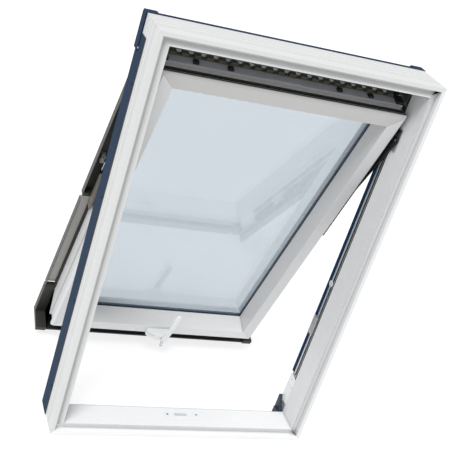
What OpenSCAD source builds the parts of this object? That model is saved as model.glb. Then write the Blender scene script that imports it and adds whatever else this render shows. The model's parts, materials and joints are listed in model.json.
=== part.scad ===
// Top-hung roof window with a centre turn, plastic frame and sash, metal outer covers.
// Width runs along X, outward along Y, up along Z. The origin is the middle of the frame's foot.

/* [Overall] */
// Outer width of the frame
frame_width = 780; // [660:1:940]
// Outer height of the frame
frame_height = 1180; // [1100:1:1400]
// How far the sash is drawn open
open_angle = 20.2; // [0:0.1:35]

/* [Frame section] */
// Width of the flat rim facing the room
rim_width = 11; // [9:0.5:13]
// Depth of the lining groove behind the rim
groove_depth = 18; // [15:0.5:20]
// Distance of the reveal from the outer side
reveal_inset = 33.5; // [31:0.5:36]
// Depth at which the reveal ends and the cover step begins
reveal_depth = 87; // [84:0.5:90]
// Full depth of the plastic frame
frame_depth = 124; // [118:0.5:130]
// Wall thickness of the frame's chambers
frame_wall = 3; // [2.5:0.1:3.5]

/* [Sash section] */
// Gap from the sash side to the frame's reveal
side_gap = 12.5; // [12.2:0.1:15]
// Width of the sash rail seen from the room
sash_rail = 42; // [38:0.5:48]
// Depth of the plastic sash
sash_depth = 92; // [90:0.5:94]
// Wall thickness of the sash chambers
sash_wall = 3; // [2.5:0.1:3.5]
// Thickness of one pane
pane = 4; // [3:0.5:5]
// Thickness of the folded cover metal
sheet = 1.2; // [0.8:0.1:1.4]

/* [Fittings] */
// Radius of the hinge and turning pins
pin_r = 6; // [5:0.25:7]
// Radius of the pin a stay swings on
stay_pin_r = 3.5; // [3:0.25:4]
// Radius of the roller at the end of a stay
roller_r = 4.5; // [4:0.25:5]
// Radius of the handle's spindle
spindle_r = 4; // [3:0.25:5]
// Play between a pin and the hole it turns in
running_play = 0.06; // [0.03:0.01:0.1]
// Length of the handle's lever above its spindle
lever_length = 134; // [110:1:150]
// How many slots the vent comb has
comb_teeth = 20; // [10:1:24]

/* [Hidden] */
W = frame_width;
H = frame_height;
foot_y = 60;                       // the origin sits this far behind the front face
wall = frame_wall;
groove_floor = 20;
lip_front = 7;
step_inset = reveal_inset - 7.5;
opening_w = W - 2*reveal_inset;
half_open = opening_w/2;           // reveal face of the stiles
step_x = W/2 - step_inset;         // wall of the cover step
sash_w = opening_w - 2*side_gap;
sx = sash_w/2;                     // outer side of the sash
sash_y = 39.5;                     // closed sash: front face and lower edge
sash_z = 40;
sash_h = H - 112;
hinge_y = 150;
hinge_z = H - 75;
hinge_v = hinge_y - sash_y;
hinge_u = hinge_z - sash_z;
pivot_v = 40;
pivot_u = sash_h - 483;
stay_y = 71;
stay_z = H - 186;
stay_length = 320;
slot_v = 31.5;
stay_angle = open_angle + asin(((hinge_v - slot_v)*(cos(open_angle) - 1)
             + (hinge_z - stay_z)*sin(open_angle))/stay_length);
arm_x0 = sx + 1;                   // arm plate lies beside the sash
arm_x1 = sx + 5;
stay_x0 = sx + 6;
stay_x1 = sx + 9.5;
cover_x = sx + 33;                 // outer rim of the sash covers
split_low = pivot_u - 90;          // lower covers stop here
split_high = pivot_u - 71;         // upper covers start here
glass_q = 24;                      // glass edge from the sash side
glass_v = 68;                      // inner face of the inner pane
pane2_v = glass_v + pane + 10;     // a sealed gap of 10 mm
outer_v = 112;                     // outer face of the sash covers
rail_low = 168;                    // lower end of the inner rail and flange
rail_top = H - 100;
ridge_y = 145;
hood_y = 156.2;
buffer_y = 104;
buffer_z = H - 672;
handle_x = 28;
handle_u = 14;
bolt_x = 4;
$fn = 48;

// ---------- placing ----------
module on_frame() { translate([0, -foot_y, 0]) children(); }

// children are drawn in (width, depth from the sash face, height from its lower edge)
module on_sash() {
  on_frame() translate([0, hinge_y, hinge_z]) rotate([open_angle, 0, 0])
    translate([0, -hinge_v, -hinge_u]) children();
}

module on_stay() {
  on_frame() translate([0, stay_y, stay_z]) rotate([stay_angle, 0, 0]) children();
}

module both_sides() { children(); mirror([1, 0, 0]) children(); }

// a section drawn as (distance inward, depth) runs along one side of a rectangle
module run_left(w) { translate([-w/2, 0, 0]) children(); }
module run_right(w) { mirror([1, 0, 0]) run_left(w) children(); }
module run_top(w, h) { translate([-w/2, 0, h]) rotate([0, 90, 0]) children(); }
module run_bottom(w) { translate([w/2, 0, 0]) rotate([0, -90, 0]) children(); }

module mitred(len, reach, depth) {
  intersection() {
    linear_extrude(len) children();
    translate([0, depth + 1, 0]) rotate([90, 0, 0]) linear_extrude(depth + 2)
      polygon([[-3, -3], [reach, reach], [reach, len - reach], [-3, len + 3]]);
  }
}

module slab(x0, x1, y0, y1, z0, z1) {
  translate([x0, y0, z0]) cube([x1 - x0, y1 - y0, z1 - z0]);
}

// flat outline drawn in (depth, height), thick along the width from x0 to x1
module side_plate(x0, x1) {
  translate([x0, 0, 0]) rotate([90, 0, 90]) linear_extrude(x1 - x0) children();
}

module x_pin(x0, x1, y, z, r) { translate([x0, y, z]) rotate([0, 90, 0]) cylinder(h = x1 - x0, r = r); }
module y_pin(x, y0, y1, z, r) { translate([x, y1, z]) rotate([90, 0, 0]) cylinder(h = y1 - y0, r = r); }
module z_pin(x, y, z0, z1, r) { translate([x, y, z0]) cylinder(h = z1 - z0, r = r); }

// ---------- frame sections ----------
module stile_section() {
  difference() {
    polygon([[0, 0], [rim_width, 0], [rim_width, groove_depth], [groove_floor, groove_depth],
      [reveal_inset, lip_front], [reveal_inset, reveal_depth], [step_inset, reveal_depth],
      [step_inset, frame_depth], [0, frame_depth]]);
    translate([wall, wall]) square([rim_width - 2*wall, groove_depth - 2*wall + 3]);
    core_chamber();
    lip_chamber();
    translate([wall, 53]) square([reveal_inset - 2*wall, reveal_depth - 53 - wall]);
    translate([wall, reveal_depth]) square([step_inset - 2*wall, frame_depth - reveal_depth - wall]);
    outer_grooves();
  }
}

module core_chamber() {
  translate([wall, groove_depth + wall]) square([reveal_inset - 2*wall, 50 - groove_depth - wall]);
}

module lip_chamber() {
  polygon([[reveal_inset - wall - 5, groove_depth], [reveal_inset - wall, groove_depth - 4],
    [reveal_inset - wall, groove_depth]]);
}

module outer_grooves() {
  for (y = [38, 49, 69, 88, 105]) translate([-1, y - 0.7]) square([1.8, 1.4]);
}

module sill_section() {
  difference() {
    polygon([[0, 0], [rim_width, 0], [rim_width, groove_depth], [groove_floor, groove_depth],
      [reveal_inset, lip_front], [reveal_inset, reveal_depth], [0, frame_depth - 4]]);
    translate([wall, wall]) square([rim_width - 2*wall, groove_depth - 2*wall + 3]);
    core_chamber();
    lip_chamber();
    translate([wall, 53]) square([reveal_inset - 2*wall, reveal_depth - 53 - wall]);
    polygon([[wall, reveal_depth], [reveal_inset - 9, reveal_depth], [wall, frame_depth - 12]]);
  }
}

module frame_stile_body() {
  difference() {
    run_right(W) mitred(H, reveal_inset + 1, frame_depth) stile_section();
    rail_screw_holes();
    cover_screw_holes();
    stay_bracket_shanks();
    hinge_shanks();
  }
}

module frame_stile_right() { color([0.93, 0.94, 0.95]) on_frame() frame_stile_body(); }
module frame_stile_left() { color([0.93, 0.94, 0.95]) on_frame() mirror([1, 0, 0]) frame_stile_body(); }

module frame_head() {
  color([0.93, 0.94, 0.95]) on_frame()
    run_top(W, H) mitred(W, reveal_inset + 1, frame_depth) stile_section();
}

module frame_sill() {
  color([0.95, 0.96, 0.97]) on_frame() difference() {
    run_bottom(W) mitred(W, reveal_inset + 1, frame_depth) sill_section();
    translate([bolt_x, 57.4, 0]) striker_pocket(15, 15.2, 7);
    for (x = [-38, 54]) z_pin(x, 57, 20, reveal_inset + 1, 1.6);
  }
}

module core_tube(len, gap) {
  translate([0, 0, gap]) linear_extrude(len - 2*gap) difference() {
    core_chamber();
    offset_core(1.5);
  }
}

module offset_core(t) {
  translate([wall + t, groove_depth + wall + t])
    square([reveal_inset - 2*wall - 2*t, 50 - groove_depth - wall - 2*t]);
}

module frame_steel_cores() {
  color([0.6, 0.62, 0.64]) on_frame() {
    run_left(W) core_tube(H, 70);
    run_right(W) core_tube(H, 70);
    run_top(W, H) core_tube(W, 70);
    run_bottom(W) core_tube(W, 70);
  }
}

// ---------- frame seals, rails and covers ----------
module frame_gasket() {
  color([0.08, 0.08, 0.09]) on_frame() {
    both_sides() slab(half_open, step_x, reveal_depth, reveal_depth + 4.7, 160, H - step_inset);
    slab(-half_open + 0.3, half_open - 0.3, reveal_depth, reveal_depth + 4.7,
      H - reveal_inset, H - step_inset);
  }
}

module rail_section() {
  translate([step_inset, reveal_depth + 4.9]) square([1.5, frame_depth - reveal_depth - 4.9]);
  translate([step_inset, reveal_depth + 4.9]) square([reveal_inset - step_inset, 6]);
}

module rail_body() {
  difference() {
    run_right(W) translate([0, 0, rail_low]) linear_extrude(rail_top - rail_low) rail_section();
    x_pin(half_open - 20, step_x + 1, buffer_y, buffer_z, 10.6);
    rail_screw_holes();
  }
}

module rail_right() { color([0.75, 0.76, 0.78]) on_frame() rail_body(); }
module rail_left() { color([0.75, 0.76, 0.78]) on_frame() mirror([1, 0, 0]) rail_body(); }

module rail_screw_holes() {
  for (z = [220, 420, 640, 860]) x_pin(step_x - 2.5, step_x + 9, 112, z, 1.6);
}

module rail_end_block() {
  difference() {
    slab(half_open + 0.8, step_x, reveal_depth + 0.5, frame_depth + 1, 124, rail_low - 9);
    x_pin(half_open - 1, half_open + 6, 108, 146, 2.6);
  }
  slab(half_open + 0.2, step_x, reveal_depth, frame_depth + 1, 62, 122.6);
}

module rail_end_blocks() { color([0.9, 0.91, 0.92]) on_frame() both_sides() rail_end_block(); }

module rail_clips() {
  color([0.62, 0.65, 0.68]) on_frame() both_sides() {
    slab(half_open - 0.9, half_open + 0.3, 98, 125.5, 320, 386);
    slab(half_open - 3.4, half_open - 0.9, 104, 114, 372, 384);
  }
}

// folded cover: outer flange, ridge, inner wall, inner flange and its turned-down edge
module cover_inner_section() {
  polygon([[9 + sheet, frame_depth + 0.3], [reveal_inset - 1.5, frame_depth + 0.3],
    [reveal_inset - 1.5, reveal_depth + 11.3], [reveal_inset - 0.3, reveal_depth + 11.3],
    [reveal_inset - 0.3, frame_depth + 0.3 + sheet], [9 + sheet, frame_depth + 0.3 + sheet]]);
}

module cover_ridge_section() {
  polygon([[-1.5, 122], [-1.5, ridge_y], [9 + sheet, ridge_y], [9 + sheet, frame_depth + 0.3],
    [9, frame_depth + 0.3], [9, ridge_y - sheet], [-1.5 + sheet, ridge_y - sheet], [-1.5 + sheet, 122]]);
}

module cover_flange_section() { translate([-1.5, reveal_depth]) square([sheet, 122 - reveal_depth]); }

module side_cover_body() {
  difference() {
    run_right(W) {
      translate([0, 0, rail_low + 3]) linear_extrude(rail_top - rail_low - 3) cover_inner_section();
      translate([0, 0, -5]) linear_extrude(H - 91) cover_ridge_section();
      translate([0, 0, -5]) linear_extrude(H - 45) cover_flange_section();
    }
    x_pin(half_open - 20, step_x + 1, buffer_y, buffer_z, 10.6);
    cover_screw_holes();
  }
}

module side_cover_right() { color([0.19, 0.27, 0.36]) on_frame() side_cover_body(); }
module side_cover_left() { color([0.19, 0.27, 0.36]) on_frame() mirror([1, 0, 0]) side_cover_body(); }

module cover_seals() {
  color([0.06, 0.06, 0.07]) on_frame() both_sides()
    slab(W/2, W/2 + 1.3, reveal_depth - 4, reveal_depth - 0.1, -5, H - 50);
}

module cover_screw_holes() {
  for (z = [90, 380, 700, 1010]) x_pin(W/2 - 6, W/2 + 3, 97, z, 1.6);
}

module cover_screws() {
  color([0.2, 0.28, 0.37]) on_frame() both_sides() for (z = [90, 380, 700, 1010]) {
    x_pin(W/2 - 5, W/2 + 1.5, 97, z, 1.6);
    x_pin(W/2 + 1.5, W/2 + 2.7, 97, z, 3.4);
  }
}

module head_cover() {
  color([0.19, 0.27, 0.36]) on_frame() difference() {
    side_plate(-half_open - 3.2, half_open + 3.2)
      polygon([[frame_depth, H + 0.3], [frame_depth, H + 1.5], [135.5, H + 1.5],
        [hood_y, H - 29.7], [hood_y, H - 73.5], [hood_y - sheet, H - 73.5],
        [hood_y - sheet, H - 30], [134.8, H + 0.3]]);
    for (s = [0, 1]) mirror([s, 0, 0])
      slab(sx + 0.4, half_open + 10, 120, hood_y + 2, H - 90, H - 60);
  }
}

module hood_outline() {
  polygon([[frame_depth + 0.2, H - 95], [hood_y, H - 95], [hood_y, H - 4], [hood_y - 5, H + 1.5],
    [frame_depth + 0.2, H + 1.5]]);
}

module hood_end_body() {
  difference() {
    side_plate(half_open + 3.5, W/2 + 3) hood_outline();
    side_plate(half_open + 3.5 + sheet, W/2 + 3 - sheet)
      polygon([[frame_depth - 3, H - 96], [hood_y - sheet, H - 96], [hood_y - sheet, H - 4.5],
        [hood_y - 5.6, H + 0.3], [frame_depth - 3, H + 0.3]]);
    slab(half_open + 3, half_open + 6, frame_depth - 1, frame_depth + 5, H - 97, H - 1);
  }
}

module hood_end_right() { color([0.19, 0.27, 0.36]) on_frame() hood_end_body(); }
module hood_end_left() { color([0.19, 0.27, 0.36]) on_frame() mirror([1, 0, 0]) hood_end_body(); }

module sill_cover() {
  color([0.19, 0.27, 0.36]) on_frame() side_plate(-sx + 7, sx - 7)
    polygon([[98, 23.1], [120.3, 0.3], [120.3, -6], [121.6, -6], [121.6, 1.1], [99, 24.3]]);
}

module cover_corner_body() {
  side_plate(sx + 1.6, half_open - 0.3)
    polygon([[89, 34], [94, 36], [123, 74], [126, 74], [126, 3], [118, 3], [89, 32]]);
  side_plate(sx - 6, sx + 1.6) polygon([[89, 32], [89, 33], [118, 33], [118, 3]]);
}

module cover_corner_right() { color([0.12, 0.17, 0.2]) on_frame() cover_corner_body(); }
module cover_corner_left() { color([0.12, 0.17, 0.2]) on_frame() mirror([1, 0, 0]) cover_corner_body(); }

// ---------- striker ----------
module striker_pocket(half_len, h, r) {
  translate([0, 0, reveal_inset + 1 - h]) {
    translate([-half_len, -r, 0]) cube([2*half_len, 2*r, h]);
    for (s = [-1, 1]) translate([s*half_len, 0, 0]) cylinder(h = h, r = r);
  }
}

module striker_plate() {
  color([0.86, 0.87, 0.88]) on_frame() difference() {
    union() {
      slab(-44, 60, 33, 65.5, reveal_inset, reveal_inset + 1);
      translate([bolt_x, 57.4, -0.5]) striker_pocket(15, 13.5, 6.8);
    }
    translate([bolt_x, 57.4, 1]) striker_pocket(15, 13.5, 5.8);
    for (x = [-38, 54]) z_pin(x, 57, 20, reveal_inset + 2, 1.6);
  }
}

// ---------- hinges, stay brackets and buffers on the frame ----------
module hinge_shanks() {
  for (z = [H - 84, H - 66, H - 52]) y_pin(half_open + 14, frame_depth - 8, frame_depth + 4, z, 1.6);
}

module frame_hinge_body() {
  difference() {
    union() {
      side_plate(half_open - 1, half_open + 3)
        polygon([[96, H - 90], [hinge_y, H - 87], [hinge_y + 10, H - 81], [hinge_y + 10, H - 69],
          [hinge_y, H - 62.5], [96, H - 44]]);
      slab(half_open + 3, half_open + 22, frame_depth, frame_depth + 3, H - 90, H - 46);
    }
    hinge_shanks();
  }
  x_pin(arm_x1 + 0.4, half_open - 1, hinge_y, hinge_z, 9);
  x_pin(sx + 1, arm_x1 + 0.4, hinge_y, hinge_z, pin_r);
}

module frame_hinge_right() { color([0.55, 0.56, 0.57]) on_frame() frame_hinge_body(); }
module frame_hinge_left() { color([0.55, 0.56, 0.57]) on_frame() mirror([1, 0, 0]) frame_hinge_body(); }

module stay_bracket_shanks() {
  for (dz = [-22, 22]) x_pin(half_open - 3, half_open + 7, stay_y, stay_z + dz, 1.6);
}

module stay_bracket_body() {
  difference() {
    slab(half_open - 2.5, half_open, stay_y - 11, stay_y + 11, stay_z - 32, stay_z + 32);
    stay_bracket_shanks();
    for (dz = [-22, 22]) x_pin(half_open - 3, half_open - 1.2, stay_y, stay_z + dz, 3.4);
  }
  x_pin(stay_x0 - 0.4, half_open - 2.5, stay_y, stay_z, stay_pin_r);
}

module stay_brackets() { color([0.55, 0.56, 0.57]) on_frame() both_sides() stay_bracket_body(); }

module side_buffers() {
  color([0.72, 0.73, 0.74]) on_frame() both_sides() difference() {
    union() {
      x_pin(half_open - 2, step_x, buffer_y, buffer_z, 10);
      x_pin(half_open - 2.6, half_open - 2, buffer_y, buffer_z, 8.5);
    }
    x_pin(half_open - 4, half_open + 3, buffer_y, buffer_z, 3);
  }
}

// every small fixing screw of the frame's metal fittings
module fitting_screws() {
  color([0.7, 0.71, 0.73]) on_frame() {
    both_sides() {
      for (z = [220, 420, 640, 860]) {
        x_pin(step_x - 3, step_x - 1.5, 112, z, 3.4);
        x_pin(step_x - 1.5, step_x + 8, 112, z, 1.6);
      }
      for (z = [H - 84, H - 66, H - 52]) {
        y_pin(half_open + 14, frame_depth - 7, frame_depth + 3, z, 1.6);
        y_pin(half_open + 14, frame_depth + 3, frame_depth + 4.4, z, 3.4);
      }
      for (dz = [-22, 22]) {
        x_pin(half_open - 2.4, half_open - 1.2, stay_y, stay_z + dz, 3.4);
        x_pin(half_open - 1.2, half_open + 6, stay_y, stay_z + dz, 1.6);
      }
    }
    for (x = [-38, 54]) {
      z_pin(x, 57, 22, reveal_inset + 1, 1.6);
      z_pin(x, 57, reveal_inset + 1, reveal_inset + 1.9, 3.4);
    }
  }
}

// ---------- lifting arms beside the upper half of the sash ----------
module arm_outline() {
  polygon([[8, pivot_u - 22], [60, pivot_u - 22], [60, hinge_u - 80], [hinge_v + 5, hinge_u - 6.5],
    [hinge_v - 5, hinge_u + 6.5], [8, hinge_u - 53]]);
  translate([hinge_v, hinge_u]) circle(r = pin_r + 5);
  for (u = [pivot_u - 5, pivot_u + 190, hinge_u - 100]) translate([58, u]) square([outer_v - sheet - 58, 26]);
}

module arm_body() {
  difference() {
    side_plate(arm_x0, arm_x1) arm_outline();
    x_pin(sx, arm_x1 + 1, hinge_v, hinge_u, pin_r + running_play);
    x_pin(sx, arm_x1 + 1, pivot_v, pivot_u, pin_r + running_play);
    slab(sx, arm_x1 + 1, slot_v - roller_r - 0.5, slot_v + roller_r + 5.7,
      pivot_u + 43, pivot_u + 125);
  }
}

module arm_right() { color([0.05, 0.05, 0.06]) on_sash() arm_body(); }
module arm_left() { color([0.05, 0.05, 0.06]) on_sash() mirror([1, 0, 0]) arm_body(); }

module arm_cover_body() {
  side_plate(sx + 1.2, cover_x) translate([outer_v - sheet, split_high])
    square([sheet, hinge_u - 30 - split_high]);
  side_plate(cover_x - sheet, cover_x) translate([90, split_high])
    square([outer_v - sheet - 90, hinge_u - 30 - split_high]);
  side_plate(sx + 6, cover_x - sheet) translate([92, split_high])
    square([outer_v - sheet - 92, 12]);
}

module arm_cover_right() { color([0.16, 0.16, 0.13]) on_sash() arm_cover_body(); }
module arm_cover_left() { color([0.16, 0.16, 0.13]) on_sash() mirror([1, 0, 0]) arm_cover_body(); }

module arm_housings() {
  color([0.42, 0.4, 0.37]) on_sash() both_sides() difference() {
    slab(arm_x1, half_open - 1.2, 62, 87.5, pivot_u - 92, pivot_u + 30);
    x_pin(arm_x1 + 3, half_open, 75, pivot_u - 78, 3);
  }
}

module arm_cover_clips() {
  color([0.75, 0.75, 0.72]) on_sash() both_sides() difference() {
    side_plate(sx + 10, sx + 22) polygon([[92, pivot_u + 66], [outer_v - sheet, pivot_u + 60],
      [outer_v - sheet, pivot_u + 92], [92, pivot_u + 86], [99, pivot_u + 76]]);
    y_pin(sx + 16, 90, 104, pivot_u + 86, 1.5);
  }
}

// ---------- sash ----------
module sash_section() {
  difference() {
    polygon([[0, 8], [6, 0], [sash_rail, 0], [sash_rail, 65], [20, 65], [20, sash_depth],
      [0, sash_depth], [0, 47], [5, 47], [5, 16], [0, 16]]);
    translate([sash_wall + 3, sash_wall]) square([sash_rail - 2*sash_wall - 3, 11]);
    sash_core_chamber();
    translate([sash_wall, 48 + 2]) square([sash_rail - 2*sash_wall, 65 - sash_wall - 50]);
    translate([sash_wall, 65]) square([20 - 2*sash_wall, sash_depth - sash_wall - 65]);
  }
}

module sash_core_chamber() {
  translate([5 + sash_wall, 17]) square([sash_rail - 5 - 2*sash_wall, 30]);
}

module sash_core_tube(len, from, to) {
  translate([0, 0, from]) linear_extrude(to - from) difference() {
    sash_core_chamber();
    translate([6.5 + sash_wall, 18.5]) square([sash_rail - 8 - 2*sash_wall, 27]);
  }
}

module sash_stile_body() {
  difference() {
    run_right(sash_w) mitred(sash_h, sash_rail + 1, sash_depth) sash_section();
    x_pin(sx - 12, sx - 4, pivot_v, pivot_u, pin_r);
  }
}

module sash_stile_right() { color([0.94, 0.95, 0.95]) on_sash() sash_stile_body(); }
module sash_stile_left() { color([0.94, 0.95, 0.95]) on_sash() mirror([1, 0, 0]) sash_stile_body(); }

module sash_head() {
  color([0.94, 0.95, 0.95]) on_sash()
    run_top(sash_w, sash_h) mitred(sash_w, sash_rail + 1, sash_depth) sash_section();
}

module sash_sill() {
  color([0.94, 0.95, 0.95]) on_sash() difference() {
    run_bottom(sash_w) mitred(sash_w, sash_rail + 1, sash_depth) sash_section();
    slab(bolt_x - 10.3, bolt_x + 10.3, 17.2, 22.8, -1, 10);
    y_pin(handle_x, -1, 16, handle_u, spindle_r + 0.5);
  }
}

module sash_steel_cores() {
  color([0.6, 0.62, 0.64]) on_sash() {
    run_left(sash_w) {
      sash_core_tube(sash_h, 70, pivot_u - 20);
      sash_core_tube(sash_h, pivot_u + 20, sash_h - 70);
    }
    run_right(sash_w) {
      sash_core_tube(sash_h, 70, pivot_u - 20);
      sash_core_tube(sash_h, pivot_u + 20, sash_h - 70);
    }
    run_top(sash_w, sash_h) sash_core_tube(sash_w, 70, sash_w - 70);
    run_bottom(sash_w) {
      sash_core_tube(sash_w, 70, sash_w/2 - 50);
      sash_core_tube(sash_w, sash_w/2 + 50, sash_w - 70);
    }
  }
}

// ---------- glazing ----------
module glass_pane(v) {
  slab(-sx + glass_q, sx - glass_q, v, v + pane, glass_q, sash_h - glass_q);
}

module ring(q0, q1, v0, v1) {
  difference() {
    slab(-sx + q0, sx - q0, v0, v1, q0, sash_h - q0);
    slab(-sx + q1, sx - q1, v0 - 1, v1 + 1, q1, sash_h - q1);
  }
}

module glass_inner_pane() { color([0.8, 0.86, 0.9, 0.5]) on_sash() glass_pane(glass_v); }
module glass_outer_pane() { color([0.8, 0.86, 0.9, 0.5]) on_sash() glass_pane(pane2_v); }

module glass_spacer() {
  color([0.14, 0.2, 0.27]) on_sash() ring(30, sash_rail - 1.5, glass_v + pane, pane2_v);
}

module glazing_gaskets() {
  color([0.1, 0.1, 0.11]) on_sash() {
    ring(28, sash_rail - 0.5, 65, glass_v);
    ring(glass_q, 34, pane2_v + pane, sash_depth + 3);
  }
}

// ---------- sash covers ----------
module sash_cover_top() {
  color([0.1, 0.1, 0.1]) on_sash() side_plate(-sx, sx) {
    translate([outer_v - sheet, sash_h - 32]) square([sheet, 33.5]);
    translate([95.3, sash_h - 32]) square([outer_v - sheet - 95.3, sheet]);
    translate([sash_depth, sash_h + 0.3]) square([outer_v - sheet - sash_depth, sheet]);
  }
}

module sash_cover_bottom() {
  color([0.05, 0.05, 0.06]) on_sash() side_plate(-sx - 0.3, sx + 0.3) {
    translate([outer_v - sheet, -57]) square([sheet, 89]);
    translate([95.3, 32 - sheet]) square([outer_v - sheet - 95.3, sheet]);
    translate([26, -57]) square([outer_v - sheet - 26, sheet]);
    translate([26, -57 + sheet]) square([sheet, 5]);
  }
}

module sash_cover_side() {
  slab(sx - 32, sx + 0.3, outer_v - sheet, outer_v, 32.3, sash_h - 32.3);
  slab(sx - 32, sx - 32 + sheet, 95.3, outer_v - sheet, 32.3, sash_h - 32.3);
  slab(sx + 0.3, cover_x, outer_v - sheet, outer_v, 90.5, split_low);
  slab(cover_x - sheet, cover_x, 90, outer_v - sheet, 90.5, split_low);
}

module sash_covers_side() { color([0.12, 0.12, 0.11]) on_sash() both_sides() sash_cover_side(); }

module sash_cover_liners() {
  color([0.53, 0.52, 0.5]) on_sash() both_sides()
    slab(sx + 1, cover_x - sheet, outer_v - sheet - 3, outer_v - sheet, 90.5, split_low - 1);
}

module corner_outline() {
  polygon([[26, -62], [outer_v, -62], [outer_v, 82], [106, 90], [96, 90], [90, 82], [90, -47], [26, -47]]);
}

module sash_corner_body() {
  difference() {
    side_plate(sx + 1, cover_x) corner_outline();
    side_plate(sx, cover_x - 2) polygon([[28, -60], [outer_v - 2, -60], [outer_v - 2, 81],
      [105, 88], [97, 88], [92, 81], [92, -49], [28, -49]]);
    x_pin(sx, cover_x + 1, 101, 74, 3.2);
  }
}

module sash_corners() { color([0.04, 0.04, 0.05]) on_sash() both_sides() sash_corner_body(); }

module sash_side_gaskets() {
  color([0.05, 0.05, 0.05]) on_sash() both_sides() slab(sx, sx + 6, 88, 99, 90.5, split_low);
}

// ---------- fittings on top of the sash ----------
module sash_head_gaskets() {
  color([0.05, 0.05, 0.05]) on_sash() {
    slab(-sx + 2, sx - 2, 10, 13, sash_h, sash_h + 1.5);
    slab(-sx + 7, sx - 7, 21.5, 27, sash_h - 5, sash_h + 1);
  }
}

module sash_head_strip() {
  color([0.33, 0.35, 0.39]) on_sash() {
    slab(-sx + 22, sx - 22, 47.5, 88, sash_h, sash_h + 2);
    slab(-60, 40, 48, 70, sash_h + 2, sash_h + 3);
  }
}

module vent_comb() {
  color([0.28, 0.27, 0.22]) on_sash() {
    slab(-sx + 24, sx - 24, 72, 84, sash_h + 2, sash_h + 4);
    for (i = [0:comb_teeth - 1])
      translate([-sx + 26 + i*(sash_w - 70)/(comb_teeth - 1), 72, sash_h + 4]) cube([18, 12, 8]);
  }
}

module vent_filter() {
  color([0.75, 0.77, 0.8]) on_sash() slab(-sx + 24, sx - 24, 84, 88, sash_h + 2, sash_h + 11);
}

module head_fittings() {
  color([0.05, 0.05, 0.05]) on_sash() {
    for (x = [-250, -158, 150, 244]) slab(x - 7, x + 7, 50, 64, sash_h + 2, sash_h + 8);
    both_sides() {
      slab(sx - 21.5, sx - 0.5, 48, 76, sash_h, sash_h + 9);
      z_pin(sx - 12, 83, sash_h, sash_h + 11, 6.8);
    }
  }
}

// ---------- turning pins of the sash ----------
module sash_pivot_body() {
  difference() {
    slab(sx - 5, sx + 0.4, 17, 46.5, pivot_u - 40, pivot_u + 40);
    for (du = [-28, 28]) x_pin(sx - 6, sx + 1, 31.5, pivot_u + du, 3);
  }
  x_pin(sx - 10, sx - 5, pivot_v, pivot_u, pin_r);
  x_pin(sx + 0.4, arm_x1 + 0.4, pivot_v, pivot_u, pin_r);
  x_pin(arm_x1 + 0.4, arm_x1 + 2.4, pivot_v, pivot_u, pin_r + 3);
}

module sash_pivots() { color([0.6, 0.6, 0.58]) on_sash() both_sides() sash_pivot_body(); }

// ---------- handle and latch ----------
module lock_case() {
  color([0.94, 0.95, 0.96]) on_sash() difference() {
    intersection() {
      translate([0, 0, 2]) linear_extrude(27) polygon([[-34, 0], [-33, -9], [-29, -15], [-4, -26],
        [8, -28], [22, -28], [38, -22], [49, -9], [51, 0]]);
      side_plate(-40, 60) polygon([[0, 2], [-14, 2.5], [-28, 4], [-28, 24], [-14, 27], [0, 29]]);
    }
    y_pin(handle_x, -30, 1, handle_u, spindle_r + running_play);
    slab(-36, -9, -30, -11, 17, 20);
  }
}

module loop_outline() {
  difference() {
    union() {
      translate([-4, -22]) square([8, 20]);
      translate([0, -22]) circle(r = 4);
    }
    union() {
      translate([-2, -22]) square([4, 15]);
      translate([0, -22]) circle(r = 2);
    }
  }
}

module pull_loop() {
  color([0.45, 0.55, 0.66]) on_sash() translate([22, -25.4, 3.4]) rotate([-open_angle, 0, 0])
    translate([0, 1.2, 0]) rotate([90, 0, 0]) linear_extrude(2.4) loop_outline();
}

module lever_front() {
  polygon([[handle_x - 8, handle_u - 4], [handle_x - 5, handle_u - 8], [handle_x + 5, handle_u - 8],
    [handle_x + 8, handle_u - 4], [handle_x + 10, handle_u + lever_length - 10],
    [handle_x + 7, handle_u + lever_length], [handle_x + 1, handle_u + lever_length],
    [handle_x - 2, handle_u + lever_length - 10]]);
}

module lever_side() {
  polygon([[-38, handle_u - 10], [-28.5, handle_u - 10], [-28.5, handle_u + 62],
    [-26, handle_u + lever_length - 20], [-27, handle_u + lever_length + 1],
    [-32, handle_u + lever_length + 1], [-35, handle_u + 90], [-38, handle_u + 40]]);
}

module handle_lever() {
  color([0.93, 0.94, 0.95]) on_sash() {
    intersection() {
      translate([0, -20, 0]) rotate([90, 0, 0]) linear_extrude(24) lever_front();
      side_plate(0, 60) lever_side();
    }
    y_pin(handle_x, -28.5, -6, handle_u, spindle_r);
  }
}

module latch_bolt() {
  color([0.75, 0.76, 0.78]) on_sash() slab(bolt_x - 10, bolt_x + 10, 17.5, 22.5, 1, 32);
}

// ---------- stays ----------
module stay_body() {
  difference() {
    side_plate(stay_x0, stay_x1) union() {
      translate([-8, -stay_length]) square([16, stay_length]);
      circle(r = 10);
      translate([0, -stay_length]) circle(r = 8);
    }
    x_pin(stay_x0 - 1, stay_x1 + 1, 0, 0, stay_pin_r + running_play);
  }
  x_pin(sx + 1.4, stay_x0, 0, -stay_length, roller_r);
}

module stay_right() { color([0.06, 0.06, 0.07]) on_stay() stay_body(); }
module stay_left() { color([0.06, 0.06, 0.07]) on_stay() mirror([1, 0, 0]) stay_body(); }

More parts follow.
